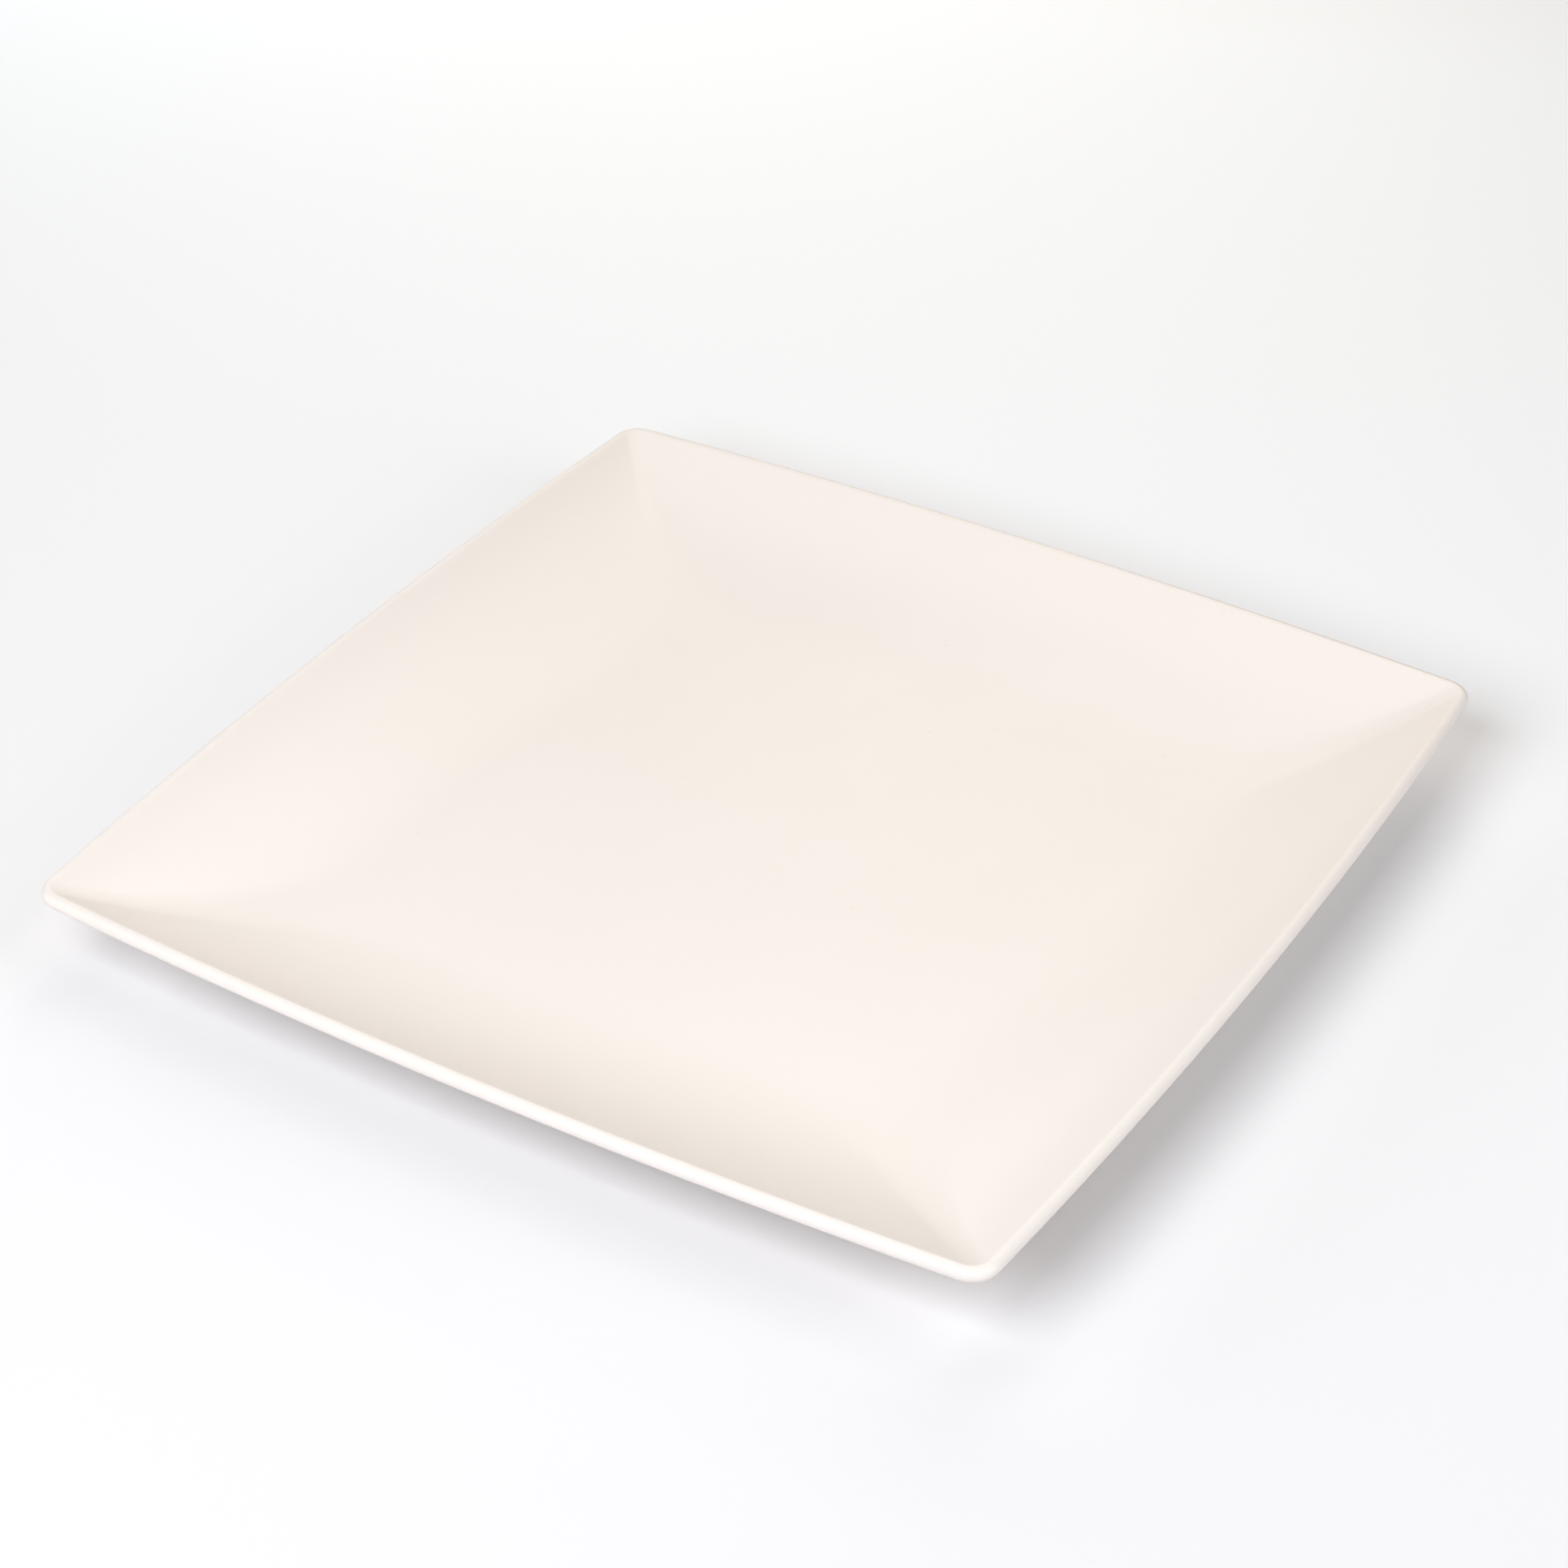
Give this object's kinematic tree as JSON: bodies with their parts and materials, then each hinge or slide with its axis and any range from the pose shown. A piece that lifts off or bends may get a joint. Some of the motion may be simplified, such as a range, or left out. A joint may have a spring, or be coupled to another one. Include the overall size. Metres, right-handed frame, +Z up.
{
  "type": "square dinner plate",
  "caption": "Square glazed ceramic dinner plate with softly bowed sides, a flat floor, sloping walls, a rounded lip and a foot ring that it stands on.",
  "frame": {"origin": "centre of the foot ring's standing face, on the table", "axes": "+Z straight up out of the plate; X and Y square to its sides, with one side facing the front at -Y"},
  "size_m": [0.26, 0.26, 0.025],
  "materials": {
    "glaze": "smooth soft-gloss ivory glaze",
    "bare_clay": "fired stoneware clay, ground flat and matte where it stands"
  },
  "bodies": {
    "root": {"clay_body": "bare_clay", "face_glaze": "glaze", "recess_glaze": "glaze"}
  },
  "joints": []
}
